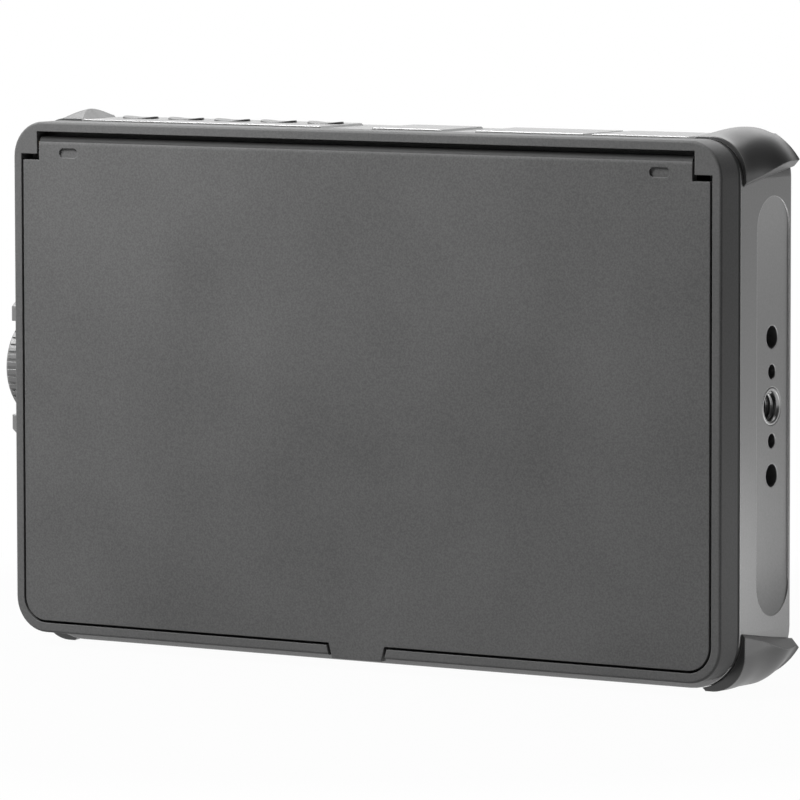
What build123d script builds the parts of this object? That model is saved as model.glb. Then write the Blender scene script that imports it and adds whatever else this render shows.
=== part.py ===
# Camera field monitor, 7-inch class, with a folding sun hood on its front.
#
# Frame: +X to the viewer's right, +Y to the back, +Z up, millimetres.
# The origin is the mouth of the tripod thread, at the middle of the underside.

import os

from build123d import *

os.makedirs("parts", exist_ok=True)

# ---------------------------------------------------------------- overall sizes
ring_width = 184.6          # outside of the hood's frame
ring_height = 116.5
ring_corner = 8.0           # outside corner radius
ring_lift = 2.2             # frame's lower edge above the underside
thread_setback = 23.4       # hood's front face to the line of mounting threads
body_depth = 32.2           # hood's front face to the rear cover

front_y = -thread_setback
rear_y = front_y + body_depth
mid_z = ring_lift + ring_height / 2
ring_top = ring_lift + ring_height

# ---------------------------------------------------------------- sun hood
frame_depth = 7.2           # front frame of the hood
clip_depth = 1.8            # clip frame behind it
clip_inset = 0.5
ring_border = 2.2           # width of the frame seen around the lid
ring_edge = 0.6             # rounding of the frame's front edge
lip_gap = 0.6               # the lid's rolled edge to the stop lip behind it
lip_thickness = 1.2
lip_width = 3.0

lid_gap = 0.6               # running gap around the closed lid
lid_thickness = 2.0
lid_corner = 5.3
barrel_radius = 2.0         # rolled top edge of the lid, round the hinge axis
barrel_gap = 1.0
hinge_block_width = 4.35    # blocks in the frame's top corners that hold the pins
hinge_block_below = 0.1     # blocks below the rolled edge
hinge_end_gap = 0.6
hinge_swing_gap = 1.4       # below the blocks, for the lid's shoulders
hinge_pin_radius = 0.8
hinge_pin_fit = 0.05
hinge_pin_in_block = 3.6
hinge_pin_in_lid = 6.0
bush_radius = 1.5
bush_length = 1.2
bush_stand = 0.25           # past the block, towards the lid

tab_width = 14.6            # finger tab at the lid's lower edge
tab_slope = 0.6             # each side leans in by this much over the frame's border
tab_reach = 0.55            # past the frame's lower edge
slot_length = 5.0           # shallow obround marks near the lid's top corners
slot_width = 2.2
slot_depth = 0.5
slot_inset = 15.2
slot_drop = 4.8

skirt_wall = 2.2            # rim behind the lid's edge
skirt_gap = 0.25            # rim to the stop lip
lining_thickness = 0.15
wing_thickness = 1.2        # side shades, folded flat under the lid
wing_top_drop = 6.55        # wings' upper end below the hinge axis
wing_height = 96.0
wing_split = 0.8            # gap between the folded wings
wing_standoff = 0.25
wing_side_gap = 0.4
wing_pin_radius = 0.5
wing_pin_fit = 0.05
wing_pin_in_wing = 5.0
wing_knuckle = 1.0          # radius of the wings' hinge edge
wing_lug_length = 2.4
wing_lug_gap = 0.25
wing_taper = 9.0            # slanted lower outline of each wing
magnet_size = (8.0, 1.4)
magnet_thickness = 0.8
magnet_x = 62.0

# ---------------------------------------------------------------- aluminium shell
side_step = 0.3             # shell's flanks inside the frame's width
shell_wall = 3.0
shell_drop = 0.3            # shell's top face below the frame's
pad_rise = 0.6              # raised pads on the shell's top face
pad_slant = 1.2
pad_depth = 17.0
pad_edges = ((-79.0, -15.0), (-1.1, 16.6), (25.6, 52.8), (55.2, 79.0))
shell_top_corner = 8.5
shell_bottom_corner = 12.0
shell_rear_round = 1.4
cover_inset = 1.6           # rebate for the rear cover, from the shell's outside
cover_thickness = 1.5
cover_gap = 0.15
post_radius = 3.2           # screw posts for the rear cover
post_depth = 6.0
post_inset = 6.4
post_side_inset = 5.2
post_middle_x = 45.0

scoop_length = 91.0         # milled hollow around the side mounting holes
scoop_width = 14.4
scoop_depth = 0.35
scoop_end_depth = 0.05
scoop_ramp = 11.0
pin_hole_radius = 2.5
pin_hole_pitch = 30.0
pin_hole_depth = 6.0
small_hole_radius = 1.6
small_hole_pitch = 15.0
small_hole_depth = 8.0
insert_radius = 4.2         # thread insert, 1/4 inch by 20 threads
insert_bore = 2.6
insert_length = 9.0
boss_width = 14.0
boss_length = 40.0
boss_depth = 9.0

# ---------------------------------------------------------------- corner bumpers
bumper_flare_side = 3.9     # growth of the bumpers' outline, frame to rear rim
bumper_flare_top = 2.3
bumper_flare_bottom = 3.0
bumper_corner = 17.2        # corner radius at the rear rim
bumper_rear = 0.5           # past the rear cover
bumper_fit = 0.1
bumper_foot = 0.8           # the lower bumpers' flat soles, below the underside
bumper_gap = 1.0            # groove left behind the frame
bumper_start = 13.0         # depth at which the arms are measured
bumper_flank_front = 9.8    # arm down the flank, from the frame's end, at that depth
bumper_flank_rear = 6.6
bumper_end_front = 11.4     # arm along the end, from the frame's side, at that depth
bumper_end_rear = 5.3
bumper_bevel = 1.1          # slope of the bevel at each arm's edge
# Shares of a bumper's depth and of its growth to the side, at the top, at the bottom and
# round the corner.
flare_steps = ((0.0, 0.12, 0.22, 0.95, 0.0), (0.127, 0.14, 0.3, 0.97, 0.06),
               (0.295, 0.18, 0.72, 1.0, 0.12), (0.464, 0.28, 1.0, 1.0, 0.21),
               (0.633, 0.5, 1.09, 1.09, 0.37), (0.802, 0.73, 1.06, 1.06, 0.63),
               (1.0, 1.0, 1.0, 1.0, 1.0))

# ---------------------------------------------------------------- dial
dial_radius = 12.2
dial_reach = 9.1            # outer face beyond the frame's side
dial_behind_tray = 6.5      # back of the display's tray to the axis
dial_lift = 1.0             # axis above the middle of the frame
dial_floor_gap = 0.4        # left behind the dial when it is pressed
dial_well_gap = 0.7
dial_ribs = 44
dial_rib_depth = 0.45
dial_groove = 0.8
dial_edge = 0.8
dial_travel = 0.5
dial_dish = 8.5
dial_bore = 3.0
dial_shaft_fit = 0.04
shaft_wall_gap = 0.15
collar_radius = 18.5        # shoulders above and below the dial
collar_reach = 7.8
collar_mouth = 10.8
collar_round = 1.2
encoder_size = 12.0
encoder_depth = 6.0
encoder_gap = 0.2
shaft_head_radius = 5.0
shaft_head = 1.2
shaft_head_gap = 0.1
shaft_in_encoder = 4.0

# ---------------------------------------------------------------- buttons
button_count = 5
button_pitch = 12.55
button_first_x = -70.9
button_length = 8.7
button_width = 5.6
button_setback = 20.0
button_rise = 0.55
button_fit = 0.2
button_dish = 0.45
button_travel = 0.6
button_flange = 0.7
button_flange_height = 1.0
button_flange_gap = 0.2
stem_radius = 1.2
stem_length = 1.6
strip_end = 11.0
strip_post_end = 8.6
switch_height = 1.8
switch_size = 4.6
switch_gap = 0.1
strip_thickness = 1.2
strip_width = 8.0
strip_post_radius = 1.9
strip_screw_radius = 0.8
strip_head = 1.5
strip_head_height = 0.8
strip_screw_length = 4.5
switch_cap = 0.5
button_edge = 0.4

# ---------------------------------------------------------------- display stack
glass_size = (179.2, 111.1)
glass_corner = 5.0
glass_thickness = 1.5
glass_pocket_gap = 0.2
panel_size = (160.0, 102.0)
panel_thickness = 3.0
backlight_thickness = 3.0
bezel_gap = 0.5
tray_thickness = 0.8
tray_side_gap = 0.7         # to the shell's walls
tray_top_gap = 0.45
tray_corner = 12.0

# ---------------------------------------------------------------- electronics
board_side_gap = 0.8        # main board to the shell's left wall
board_right = 62.0          # its reach to the right of the middle
board_half_height = 44.0
board_thickness = 1.6
board_standoff = 3.2
board_screw_grip = 2.6      # length of the board's screws inside the standoffs
board_hole_inset = 4.0
board_hole_left = 14.0      # left holes stand further in, clear of the dial's encoder
encoder_clearance = 2.0
standoff_radius = 2.4
screw_radius = 1.25
screw_fit = 0.1
screw_head = 2.2
screw_head_height = 0.9
screw_head_depth = 1.0
screw_length = 5.0
driver_width = 0.8          # hexagon socket, as a share of the shank's radius
driver_depth = 0.6          # and of the head's height
fan_size = 36.0
fan_thickness = 7.0
fan_bore = 16.2
fan_hub = 7.0
fan_blades = 9
fan_tip_gap = 0.6
fan_axle_radius = 0.75
fan_axle_fit = 0.04
fan_centre = (48.0, 26.0)
fan_screw_inset = 3.6
fan_spoke = 2.0
fan_plate = 1.2
fan_rotor_gap = 0.5
fan_blade = 1.0
fan_root = 0.5              # how far blades and spokes run into what carries them
sink_size = (58.0, 34.0)
sink_base = 1.6
sink_fins = 12
sink_fin_thickness = 1.0
sink_height = 8.6
sink_centre = (-14.0, 26.0)

# ---------------------------------------------------------------- rear
vent_slots = 9
vent_pitch = 4.0
vent_width = 1.8
vent_length = 20.0
vent_centre = (-14.0, 40.0)
grille_slots = 14
grille_slot_length = 9.0
grille_radius = 10.5
plate_size = (46.0, 78.0)   # battery plate for the common L-series camera battery
plate_base = 1.6
plate_rail_height = 5.6
plate_rail = 3.2
plate_hook = 1.4
plate_hook_height = 1.2
plate_centre = (0.0, -14.0)
latch_size = (11.0, 9.0)
latch_travel = 3.0
latch_gap = 0.25
plate_corner = 2.0
plate_hole_x = 13.0
plate_hole_z = 26.0
latch_inset = 5.0
latch_wall = 1.0
latch_frame = 1.6
latch_height = 4.0
latch_corner = 1.0
latch_bevel = 0.5
latch_grooves = 3
latch_groove_pitch = 1.6
latch_groove_length = 7.6
latch_groove_z = 3.2        # middle groove above the latch's lower end
contact_pitch = 9.0
contact_z = 8.0
contact_radius = 0.9
contact_height = 2.0

# ---------------------------------------------------------------- sockets in the left flank
video_socket = (15.0, 5.6, 11.0)     # width along Z, height along Y, depth along X
video_socket_z = 33.0
usb_socket = (9.0, 3.3, 8.0)
usb_socket_z = -27.0
phone_socket = (6.0, 5.0, 12.0)
phone_socket_z = -39.0
phone_bore = 1.8
socket_wall = 0.5
socket_lip = 0.3
socket_fit = 0.15
socket_pit = 0.8            # how much shorter than the socket its hollow is
socket_corner = 0.8
tongue_thickness = 0.8
tongue_inset = 1.6          # from the socket's ends to its tongue

# ---------------------------------------------------------------- derived places
clear = 1.0                 # how far cutting shapes reach past what they cut
half_width = ring_width / 2
half_height = ring_height / 2
window_half_width = half_width - ring_border
window_half_height = half_height - ring_border
shell_front = front_y + frame_depth + clip_depth
shell_side = half_width - side_step
shell_top = ring_top - shell_drop
lip_depth = 2 * barrel_radius + lip_gap
skirt_depth = lip_depth - lid_thickness - skirt_gap
hinge_block_drop = barrel_gap + 2 * barrel_radius + hinge_block_below
tray_size = (2 * (shell_side - shell_wall - tray_side_gap),
             2 * (shell_top - mid_z - shell_wall - tray_top_gap))
board_left = shell_side - shell_wall - board_side_gap
axis_y = front_y + barrel_radius
axis_z = ring_top - ring_border - barrel_gap - barrel_radius
glass_front = front_y + lip_depth + lip_thickness + glass_pocket_gap
glass_back = glass_front + glass_thickness
panel_back = glass_back + panel_thickness
backlight_back = panel_back + backlight_thickness
tray_back = backlight_back + tray_thickness
board_front = tray_back + board_standoff
board_back = board_front + board_thickness
cover_front = rear_y - cover_thickness
dial_y = tray_back + dial_behind_tray
dial_z = mid_z + dial_lift
button_y = front_y + button_setback
pad_top = shell_top + pad_rise
inner_top = shell_top - shell_wall

lid_half = window_half_width - lid_gap
lid_low = -(window_half_height - lid_gap)
lid_notch_z = window_half_height - hinge_block_drop - hinge_swing_gap
lid_barrel_end = window_half_width - hinge_block_width - hinge_end_gap
axis_high = axis_z - mid_z
wing_axis_x = lid_half - skirt_wall - wing_side_gap - wing_knuckle
wing_axis_y = front_y + lid_thickness + wing_standoff + wing_knuckle
wing_top = axis_high - wing_top_drop
wing_low = wing_top - wing_height
magnet_z = lid_low + skirt_wall / 2
slot_places = [(side * (half_width - slot_inset), window_half_height - slot_drop)
               for side in (-1, 1)]
block_face = lid_barrel_end + hinge_end_gap


def facing(y, z=mid_z):
    """A plane across the object at depth y: its x is X, its y is Z, it looks to the front."""
    return Plane(origin=(0, y, z), x_dir=(1, 0, 0), z_dir=(0, -1, 0))


def flank(x, y=0.0, z=mid_z):
    """A plane along the object at width x: its x is Y, its y is Z, it looks to +X."""
    return Plane(origin=(x, y, z), x_dir=(0, 1, 0), z_dir=(1, 0, 0))


def save(piece, name):
    piece.part.label = name
    export_step(piece.part, f"parts/{name}.step")


# ================================================================ sun hood
def lid_outline(gap):
    """Outline of the lid, or of the window that it closes when gap is its running gap."""
    half = window_half_width - lid_gap + gap
    low = -(window_half_height - lid_gap + gap)
    high = window_half_height
    notch_x = window_half_width - hinge_block_width - hinge_end_gap
    notch_z = high - hinge_block_drop - hinge_swing_gap
    if gap:
        notch_x += hinge_end_gap
        notch_z += hinge_swing_gap
    corner = lid_corner + gap
    tab_low = -(half_height + tab_reach)
    lean = tab_slope * (low - tab_low) / ring_border
    tab_top = tab_width / 2 + gap
    with BuildSketch() as outline:
        with BuildLine():
            Polyline((half - corner, low), (tab_top, low), (tab_top - lean, tab_low),
                     (-tab_top + lean, tab_low), (-tab_top, low), (-half + corner, low))
            RadiusArc((-half + corner, low), (-half, low + corner), corner)
            Polyline((-half, low + corner), (-half, notch_z), (-notch_x, notch_z),
                     (-notch_x, high), (notch_x, high), (notch_x, notch_z), (half, notch_z),
                     (half, low + corner))
            RadiusArc((half, low + corner), (half - corner, low), corner)
        make_face()
    return outline.sketch


lid_window = lid_outline(lid_gap)
lid_shape = lid_outline(0.0)

with BuildPart() as hood_frame:
    with BuildSketch(facing(front_y)):
        RectangleRounded(ring_width, ring_height, ring_corner)
    extrude(amount=-frame_depth)
    fillet(hood_frame.faces().sort_by(Axis.Y)[0].edges(), ring_edge)
    with BuildSketch(facing(front_y)):
        add(lid_window)
    extrude(amount=-lip_depth, mode=Mode.SUBTRACT)
    with BuildSketch(facing(front_y + lip_depth)):
        RectangleRounded(2 * (window_half_width - lip_width), 2 * (window_half_height - lip_width),
                         lid_corner - lip_width / 2)
    extrude(amount=-frame_depth, mode=Mode.SUBTRACT)
    with BuildSketch(facing(front_y + lip_depth + lip_thickness)):
        RectangleRounded(glass_size[0] + 2 * glass_pocket_gap, glass_size[1] + 2 * glass_pocket_gap,
                         glass_corner + glass_pocket_gap)
    extrude(amount=-frame_depth, mode=Mode.SUBTRACT)
    with BuildSketch(facing(front_y + lip_depth)):
        with Locations((-magnet_x, magnet_z), (magnet_x, magnet_z)):
            Rectangle(*magnet_size)
    extrude(amount=-magnet_thickness, mode=Mode.SUBTRACT)
    for side in (-1, 1):
        for radius, depth in ((hinge_pin_radius, hinge_pin_in_block), (bush_radius, bush_length)):
            with BuildSketch(flank(side * block_face, axis_y, axis_z)):
                Circle(radius)
            extrude(amount=side * depth, mode=Mode.SUBTRACT)
save(hood_frame, "hood_frame")


with BuildPart() as hood_lid:
    with BuildSketch(facing(front_y)):
        add(lid_shape)
    extrude(amount=-lid_thickness)
    with BuildSketch(facing(front_y)):
        with Locations((0, axis_high + window_half_height)):
            Rectangle(ring_width, 2 * window_half_height)
    extrude(amount=-lid_thickness, mode=Mode.SUBTRACT)
    with BuildSketch(flank(-lid_barrel_end, axis_y, axis_z)):
        Circle(barrel_radius)
    extrude(amount=2 * lid_barrel_end)
    with BuildSketch(facing(front_y + lid_thickness)):
        with Locations((0, (lid_low + lid_notch_z) / 2)):
            rim = Rectangle(2 * lid_half, lid_notch_z - lid_low)
            fillet(rim.vertices().group_by(Axis.Y)[0], lid_corner)
            Rectangle(2 * (lid_half - skirt_wall), lid_notch_z - lid_low - 2 * skirt_wall,
                      mode=Mode.SUBTRACT)
        with Locations((0, lid_notch_z)):
            Rectangle(2 * (lid_half - skirt_wall), 3 * skirt_wall, mode=Mode.SUBTRACT)
    extrude(amount=-skirt_depth)
    for side in (-1, 1):
        for lug_z in (wing_top + wing_lug_gap, wing_low - wing_lug_gap - wing_lug_length):
            with BuildSketch(Plane.XY.offset(mid_z + lug_z)):
                with Locations((side * (wing_axis_x + wing_side_gap / 2), wing_axis_y)):
                    Rectangle(2 * wing_knuckle + wing_side_gap, 2 * wing_knuckle)
            extrude(amount=wing_lug_length)
            with BuildSketch(Plane.XY.offset(mid_z + lug_z)):
                with Locations((side * wing_axis_x, wing_axis_y)):
                    Circle(wing_pin_radius)
            extrude(amount=wing_lug_length, mode=Mode.SUBTRACT)
        with BuildSketch(flank(side * lid_barrel_end, axis_y, axis_z)):
            Circle(hinge_pin_radius + hinge_pin_fit)
        extrude(amount=-side * (hinge_pin_in_lid + hinge_pin_fit), mode=Mode.SUBTRACT)
    with BuildSketch(facing(front_y)):
        with Locations(*slot_places):
            SlotOverall(slot_length, slot_width)
    extrude(amount=-slot_depth, mode=Mode.SUBTRACT)
    with BuildSketch(facing(front_y + lid_thickness + skirt_depth)):
        with Locations((-magnet_x, magnet_z), (magnet_x, magnet_z)):
            Rectangle(*magnet_size)
    extrude(amount=magnet_thickness, mode=Mode.SUBTRACT)
save(hood_lid, "hood_lid")


with BuildPart() as lid_lining:
    with BuildSketch(facing(front_y + lid_thickness)):
        with Locations((0, (wing_top + wing_low) / 2)):
            Rectangle(2 * (wing_axis_x - wing_knuckle), wing_height)
    extrude(amount=-lining_thickness)
save(lid_lining, "lid_lining")


def shade_wing(side):
    """One folded side shade; side is -1 for the left one and 1 for the right one."""
    panel_y = wing_axis_y - wing_knuckle
    inner_x = side * wing_split / 2
    outer_x = side * wing_axis_x
    with BuildPart() as wing:
        with BuildSketch(facing(panel_y)):
            with BuildLine():
                Polyline((inner_x, wing_low + wing_taper), (inner_x, wing_top), (outer_x, wing_top),
                         (outer_x, wing_low), (outer_x - side * wing_taper, wing_low),
                         (inner_x, wing_low + wing_taper))
            make_face()
        extrude(amount=-wing_thickness)
        with BuildSketch(Plane.XY.offset(mid_z + wing_low)):
            with Locations((outer_x, wing_axis_y)):
                Circle(wing_knuckle)
        extrude(amount=wing_height)
        for end, way in ((wing_low, 1), (wing_top, -1)):
            with BuildSketch(Plane.XY.offset(mid_z + end)):
                with Locations((outer_x, wing_axis_y)):
                    Circle(wing_pin_radius + wing_pin_fit)
            extrude(amount=way * (wing_pin_in_wing + wing_pin_fit), mode=Mode.SUBTRACT)
    return wing


wing_left = shade_wing(-1)
save(wing_left, "wing_left")
wing_right = shade_wing(1)
save(wing_right, "wing_right")

with BuildPart() as wing_hinge_pins:
    for side in (-1, 1):
        for end, way in ((wing_low, 1), (wing_top, -1)):
            outer_end = end - way * (wing_lug_gap + wing_lug_length)
            with BuildSketch(Plane.XY.offset(mid_z + outer_end)):
                with Locations((side * wing_axis_x, wing_axis_y)):
                    Circle(wing_pin_radius)
            extrude(amount=way * (wing_lug_length + wing_lug_gap + wing_pin_in_wing))
save(wing_hinge_pins, "wing_hinge_pins")


def magnet_bars(y):
    with BuildPart() as bars:
        with BuildSketch(facing(y)):
            with Locations((-magnet_x, magnet_z), (magnet_x, magnet_z)):
                Rectangle(*magnet_size)
        extrude(amount=-magnet_thickness)
    return bars


lid_magnets = magnet_bars(front_y + lid_thickness + skirt_depth - magnet_thickness)
save(lid_magnets, "lid_magnets")
frame_magnets = magnet_bars(front_y + lip_depth)
save(frame_magnets, "frame_magnets")

with BuildPart() as lid_hinge_pins:
    for side in (-1, 1):
        with BuildSketch(flank(side * (block_face + hinge_pin_in_block), axis_y, axis_z)):
            Circle(hinge_pin_radius)
        extrude(amount=-side * (hinge_pin_in_block + hinge_end_gap + hinge_pin_in_lid))
save(lid_hinge_pins, "lid_hinge_pins")

with BuildPart() as lid_hinge_bushes:
    for side in (-1, 1):
        with BuildSketch(flank(side * (block_face + bush_length), axis_y, axis_z)):
            Circle(bush_radius)
            Circle(hinge_pin_radius, mode=Mode.SUBTRACT)
        extrude(amount=-side * (bush_length + bush_stand))
save(lid_hinge_bushes, "lid_hinge_bushes")

with BuildPart() as hood_clip_frame:
    with BuildSketch(facing(front_y + frame_depth)):
        RectangleRounded(ring_width - 2 * clip_inset, ring_height - 2 * clip_inset,
                         ring_corner - clip_inset)
        RectangleRounded(glass_size[0] + 2 * glass_pocket_gap, glass_size[1] + 2 * glass_pocket_gap,
                         glass_corner + glass_pocket_gap, mode=Mode.SUBTRACT)
    extrude(amount=-clip_depth)
save(hood_clip_frame, "hood_clip_frame")


# ================================================================ display stack
def plate(size, corner, front, back, name):
    """A flat rectangular layer between two depths, centred on the frame."""
    with BuildPart() as layer:
        with BuildSketch(facing(front)):
            if corner:
                RectangleRounded(*size, corner)
            else:
                Rectangle(*size)
        extrude(amount=front - back)
    save(layer, name)
    return layer


cover_glass = plate(glass_size, glass_corner, glass_front, glass_back, "cover_glass")
lcd_panel = plate(panel_size, 0, glass_back, panel_back, "lcd_panel")
backlight = plate(panel_size, 0, panel_back, backlight_back, "backlight")
panel_tray = plate(tray_size, tray_corner, backlight_back, tray_back, "panel_tray")

with BuildPart() as panel_bezel:
    with BuildSketch(facing(glass_back)):
        RectangleRounded(*glass_size, glass_corner)
    extrude(amount=glass_back - shell_front)
    with BuildSketch(facing(shell_front)):
        RectangleRounded(*tray_size, tray_corner)
    extrude(amount=shell_front - backlight_back)
    with BuildSketch(facing(glass_back)):
        Rectangle(panel_size[0] + 2 * bezel_gap, panel_size[1] + 2 * bezel_gap)
    extrude(amount=glass_back - backlight_back, mode=Mode.SUBTRACT)
save(panel_bezel, "panel_bezel")


# ================================================================ aluminium shell
def shell_outline(inset=0.0):
    """The shell's outline across the front view, seen about the middle of the frame."""
    low = -mid_z + inset
    high = shell_top - mid_z - inset
    side = shell_side - inset
    with BuildSketch() as outline:
        with Locations((0, (low + high) / 2)):
            face = Rectangle(2 * side, high - low)
            fillet(face.vertices().group_by(Axis.Y)[0], shell_bottom_corner - inset)
            fillet(outline.vertices().group_by(Axis.Y)[-1], shell_top_corner - inset)
    return outline.sketch


outer_shape = shell_outline()
inner_shape = shell_outline(shell_wall)
rebate_shape = shell_outline(cover_inset)
cover_shape = shell_outline(cover_inset + cover_gap)
bumper_seat = shell_outline(-bumper_fit)

scoop_x = shell_side - scoop_depth

with BuildPart() as scoop:
    with BuildSketch(flank(shell_side + clear)):
        SlotOverall(scoop_length, scoop_width, rotation=90)
    extrude(amount=-shell_wall)
    with BuildSketch(facing(-scoop_width, mid_z)):
        end = scoop_length / 2
        flat = end - scoop_ramp
        with BuildLine():
            Polyline((scoop_x, -flat), (scoop_x, flat))
            TangentArc((scoop_x, flat), (shell_side - scoop_end_depth, end), tangent=(0, 1))
            Polyline((shell_side - scoop_end_depth, end), (shell_side + 2 * clear, end),
                     (shell_side + 2 * clear, -end), (shell_side - scoop_end_depth, -end))
            TangentArc((scoop_x, -flat), (shell_side - scoop_end_depth, -end), tangent=(0, -1))
        make_face()
    extrude(amount=-2 * scoop_width, mode=Mode.INTERSECT)

fan_x, fan_z = fan_centre
fan_hole = fan_size / 2 - fan_screw_inset
fan_holes = [(fan_x + sx * fan_hole, fan_z + sz * fan_hole) for sx in (-1, 1) for sz in (-1, 1)]
plate_x, plate_z = plate_centre
plate_holes = [(plate_x + sx * plate_hole_x, plate_z + sz * plate_hole_z)
               for sx in (-1, 1) for sz in (-1, 1)]
contact_places = [(plate_x + i * contact_pitch, plate_z + contact_z) for i in (-1, 0, 1)]
post_places = [(sx * (shell_side - post_inset), z) for sx in (-1, 1)
               for z in (post_inset - mid_z, shell_top - mid_z - post_inset)]
post_places += [(sx * post_middle_x, z) for sx in (-1, 1)
                for z in (post_side_inset - mid_z, shell_top - mid_z - post_side_inset)]
button_places = [(button_first_x + i * button_pitch, button_y) for i in range(button_count)]
strip_places = [(button_places[0][0] - strip_post_end, button_y),
                (button_places[-1][0] + strip_post_end, button_y)]

stem_foot = inner_top - button_flange_gap - button_flange_height - stem_length
switch_top = stem_foot - button_travel - switch_gap
strip_top = switch_top - switch_height


class Socket:
    """A socket in the left flank: its size, its height above the middle, and its bore."""

    def __init__(self, name, width, height, depth, z, mouth):
        self.name = name
        self.width = width
        self.height = height
        self.depth = depth
        self.z = z
        self.mouth = mouth
        self.y = board_back + height / 2


socket_openings = [
    Socket("video_socket", *video_socket, video_socket_z, "slot"),
    Socket("usb_socket", *usb_socket, usb_socket_z, "slot"),
    Socket("phone_socket", *phone_socket, phone_socket_z, "round"),
]

with BuildPart() as shell:
    with BuildSketch(facing(shell_front)):
        add(outer_shape)
    extrude(amount=shell_front - rear_y)
    fillet(shell.faces().sort_by(Axis.Y)[-1].edges(), shell_rear_round)
    with BuildSketch(facing(shell_front)):
        for low_x, high_x in pad_edges:
            with BuildLine():
                base = shell_top - mid_z - pad_rise
                Polyline((low_x - pad_slant, base), (low_x, pad_top - mid_z),
                         (high_x, pad_top - mid_z), (high_x + pad_slant, base),
                         (low_x - pad_slant, base))
            make_face()
    extrude(amount=-pad_depth)
    with BuildSketch(facing(shell_front)):
        add(inner_shape)
    extrude(amount=shell_front - cover_front, mode=Mode.SUBTRACT)
    with BuildSketch(flank(-shell_side, dial_y, dial_z)):
        Circle(collar_radius)
        with Locations((shell_front - dial_y - collar_radius, 0)):
            Rectangle(2 * collar_radius, 3 * collar_radius, mode=Mode.SUBTRACT)
        with Locations((rear_y - shell_rear_round - dial_y + collar_radius, 0)):
            Rectangle(2 * collar_radius, 3 * collar_radius, mode=Mode.SUBTRACT)
    extrude(amount=half_width + collar_reach - shell_side, dir=(-1, 0, 0))
    fillet(shell.faces().sort_by(Axis.X)[0].edges(), collar_round)
    with BuildSketch(flank(-shell_side, dial_y, dial_z)):
        Circle(dial_radius + dial_well_gap)
        with Locations((-dial_radius, 0)):
            Rectangle(2 * dial_radius, 2 * collar_mouth)
    extrude(amount=half_width + collar_reach, dir=(-1, 0, 0), mode=Mode.SUBTRACT)
    with BuildSketch(flank(-shell_side, dial_y, dial_z)):
        Circle(dial_bore + shaft_wall_gap)
    extrude(amount=2 * shell_wall, both=True, mode=Mode.SUBTRACT)
    with BuildSketch(flank(shell_side - shell_wall)):
        RectangleRounded(boss_width, boss_length, boss_width / 4)
    extrude(amount=-boss_depth)
    with BuildSketch(Plane.XY.offset(shell_wall)):
        RectangleRounded(boss_length, boss_width, boss_width / 4)
    extrude(amount=boss_depth)
    add(scoop.part, mode=Mode.SUBTRACT)
    for mouth in (flank(scoop_x), Plane.XY.rotated((180, 0, 0))):
        run = (0, 1) if mouth.z_dir.X > 0.5 else (1, 0)
        with BuildSketch(mouth):
            Circle(insert_radius)
        extrude(amount=-insert_length, mode=Mode.SUBTRACT)
        with BuildSketch(mouth):
            for way in (-1, 1):
                with Locations((way * run[0] * pin_hole_pitch / 2, way * run[1] * pin_hole_pitch / 2)):
                    Circle(pin_hole_radius)
        extrude(amount=-pin_hole_depth, mode=Mode.SUBTRACT)
        with BuildSketch(mouth):
            for way in (-1, 1):
                with Locations((way * run[0] * small_hole_pitch / 2,
                                way * run[1] * small_hole_pitch / 2)):
                    Circle(small_hole_radius)
        extrude(amount=-small_hole_depth, mode=Mode.SUBTRACT)
    with BuildSketch(facing(cover_front)):
        add(rebate_shape)
    extrude(amount=cover_front - rear_y, mode=Mode.SUBTRACT)
    with BuildSketch(facing(cover_front)):
        with Locations(*post_places):
            Circle(post_radius)
    extrude(amount=post_depth)
    with BuildSketch(facing(cover_front)):
        with Locations(*post_places):
            Circle(screw_radius + screw_fit)
    extrude(amount=screw_length, mode=Mode.SUBTRACT)
    with BuildSketch(flank(-shell_side)):
        for opening in socket_openings:
            with Locations((opening.y, opening.z)):
                Rectangle(opening.height + 2 * socket_fit, opening.width + 2 * socket_fit)
    extrude(amount=2 * shell_wall, mode=Mode.SUBTRACT)
    with BuildSketch(Plane.XY.offset(inner_top)):
        with Locations(*strip_places):
            Circle(strip_post_radius)
            Circle(strip_screw_radius + screw_fit, mode=Mode.SUBTRACT)
    extrude(amount=strip_top - inner_top)
    with BuildSketch(Plane.XY.offset(pad_top)):
        with Locations(*button_places):
            SlotOverall(button_length + 2 * button_fit, button_width + 2 * button_fit)
    extrude(amount=inner_top - pad_top, mode=Mode.SUBTRACT)
save(shell, "shell")


# ================================================================ corner bumpers
bumper_back = rear_y + bumper_rear
bumper_y = front_y + bumper_start
bumper_half_width = half_width + bumper_flare_side


def bumper_edge(front_point, rear_point, bevel, corner):
    """Plane of an arm's bevelled edge, through two of its points, facing the corner."""
    along = Vector(*rear_point) - Vector(*front_point)
    normal = Vector(*bevel).cross(along)
    if normal.dot(corner - Vector(*rear_point)) < 0:
        normal = normal * -1
    return Plane(origin=front_point, z_dir=normal)


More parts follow.
